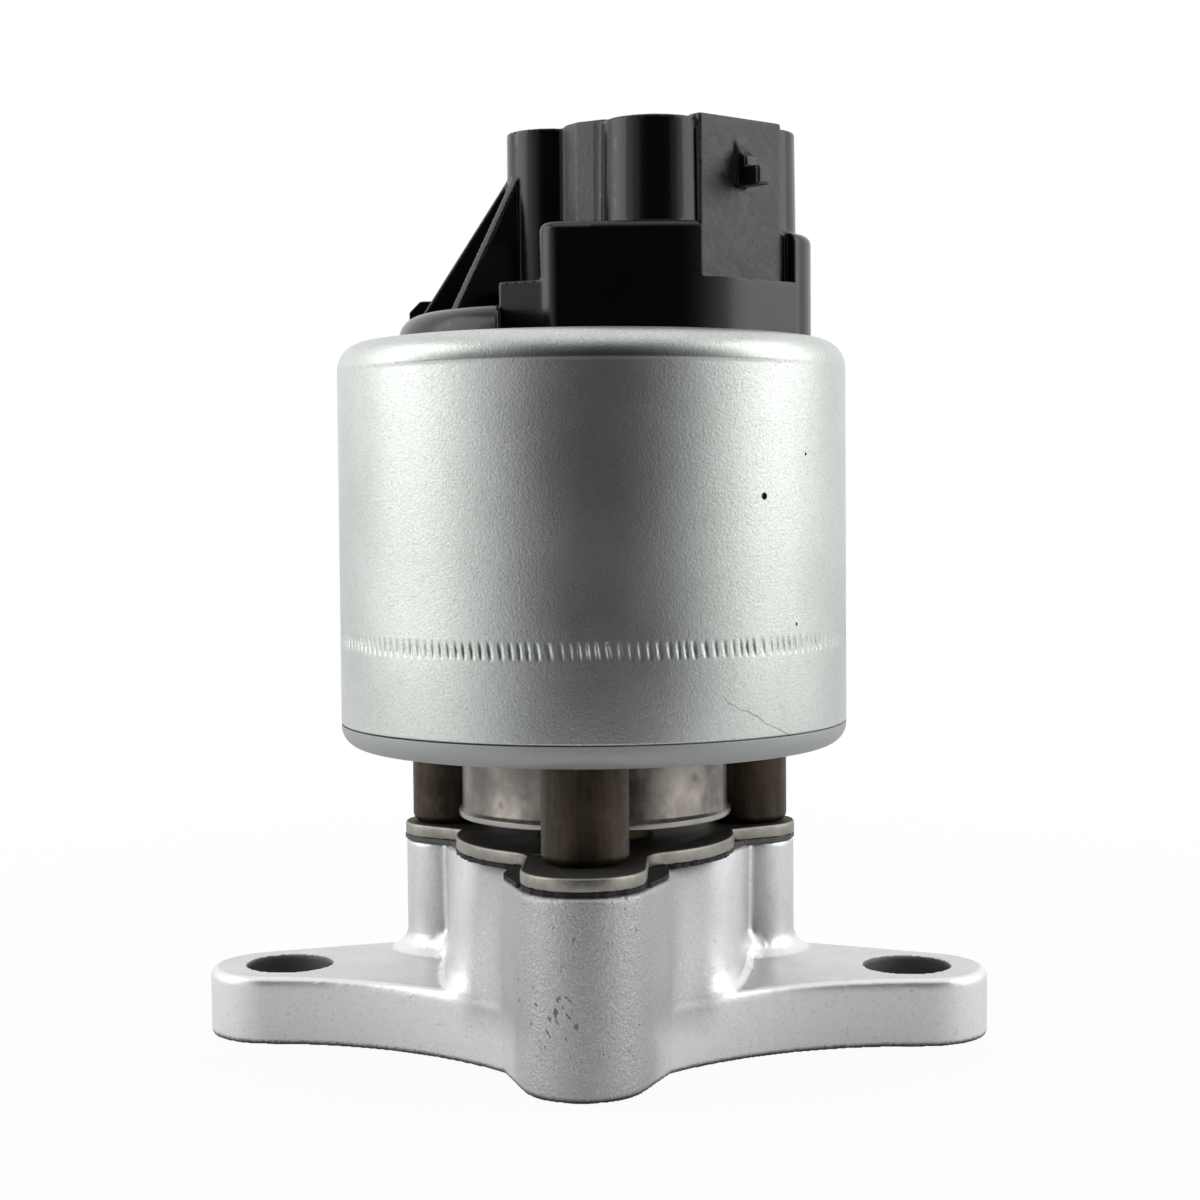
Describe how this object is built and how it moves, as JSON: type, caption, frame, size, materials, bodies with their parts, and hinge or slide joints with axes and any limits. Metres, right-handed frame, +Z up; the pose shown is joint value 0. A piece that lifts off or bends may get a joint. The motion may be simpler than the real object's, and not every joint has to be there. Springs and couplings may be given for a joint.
{
  "type": "exhaust gas recirculation valve",
  "caption": "Solenoid exhaust gas valve: cast two-ear flange, stand-off spacers, round steel can and a black cap with an upright oval connector socket.",
  "frame": {"origin": "on the valve axis at the mounting face, midway between the two mounting holes", "axes": "+Z up along the valve axis from the mounting face to the connector, X through the two mounting holes, -Y towards the front lobe of the casting"},
  "size_m": [0.0878, 0.0589, 0.1011],
  "materials": {
    "cast_alloy": "bright sand-cast, fine grain",
    "plate_steel": "warm grey stamped steel",
    "gasket_graphite": "matt black",
    "spacer_steel": "dark brown oxide, satin",
    "screw_steel": "zinc plated",
    "shield_steel": "bright pressed stainless",
    "can_steel": "satin grey zinc plate",
    "stainless": "ground",
    "bronze": "sintered",
    "iron": "machined",
    "copper": "enamelled wire",
    "spring_steel": "drawn wire",
    "seal_rubber": "matt",
    "black_plastic": "moulded, fine texture",
    "inner_plastic": "natural",
    "board": "laminate",
    "tin": "tin plated",
    "track": "printed resistor"
  },
  "bodies": {
    "housing": {"valve_base": "cast_alloy", "valve_seat": "stainless", "base_gasket": "gasket_graphite", "flange_plate": "plate_steel", "spacer_front": "spacer_steel", "spacer_left": "spacer_steel", "spacer_right": "spacer_steel", "screw_front": "screw_steel", "screw_left": "screw_steel", "screw_right": "screw_steel", "shield_cup": "shield_steel", "stem_bearing": "bronze", "solenoid_base_plate": "can_steel", "stem_seal": "seal_rubber", "seal_washer": "stainless", "solenoid_can": "can_steel", "lower_pole_sleeve": "iron", "upper_pole_piece": "iron", "guide_sleeve": "stainless", "coil_bobbin": "inner_plastic", "coil_winding": "copper", "coil_pin_1": "tin", "coil_pin_2": "tin", "return_spring": "spring_steel", "sensor_cap": "black_plastic", "cap_seal": "seal_rubber", "sensor_cover": "inner_plastic", "terminal_board": "board", "terminal_1": "tin", "terminal_2": "tin", "terminal_3": "tin", "terminal_4": "tin", "terminal_5": "tin", "resistor_track": "track", "sensor_spring": "spring_steel"},
    "valve_train": {"pintle": "stainless", "armature": "iron", "armature_clip": "spring_steel"},
    "sensor_train": {"sensor_plunger": "inner_plastic", "wiper_carrier": "inner_plastic", "wiper_contact": "spring_steel"}
  },
  "joints": [
    {"name": "pintle_lift", "type": "slide", "parent": "housing", "child": "valve_train", "axis": [0, 0, 1], "range_m": [0, 0.0045], "stiffness_N_per_m": 1500, "springref_m": -0.006, "deforming": ["return_spring"]},
    {"name": "sensor_slide", "type": "slide", "parent": "housing", "child": "sensor_train", "axis": [0, 0, 1], "range_m": [0, 0.0045], "stiffness_N_per_m": 100, "springref_m": -0.004, "deforming": ["sensor_spring"]}
  ],
  "couplings": [
    {"joint": "sensor_slide", "follows": "pintle_lift", "ratio": 1}
  ]
}
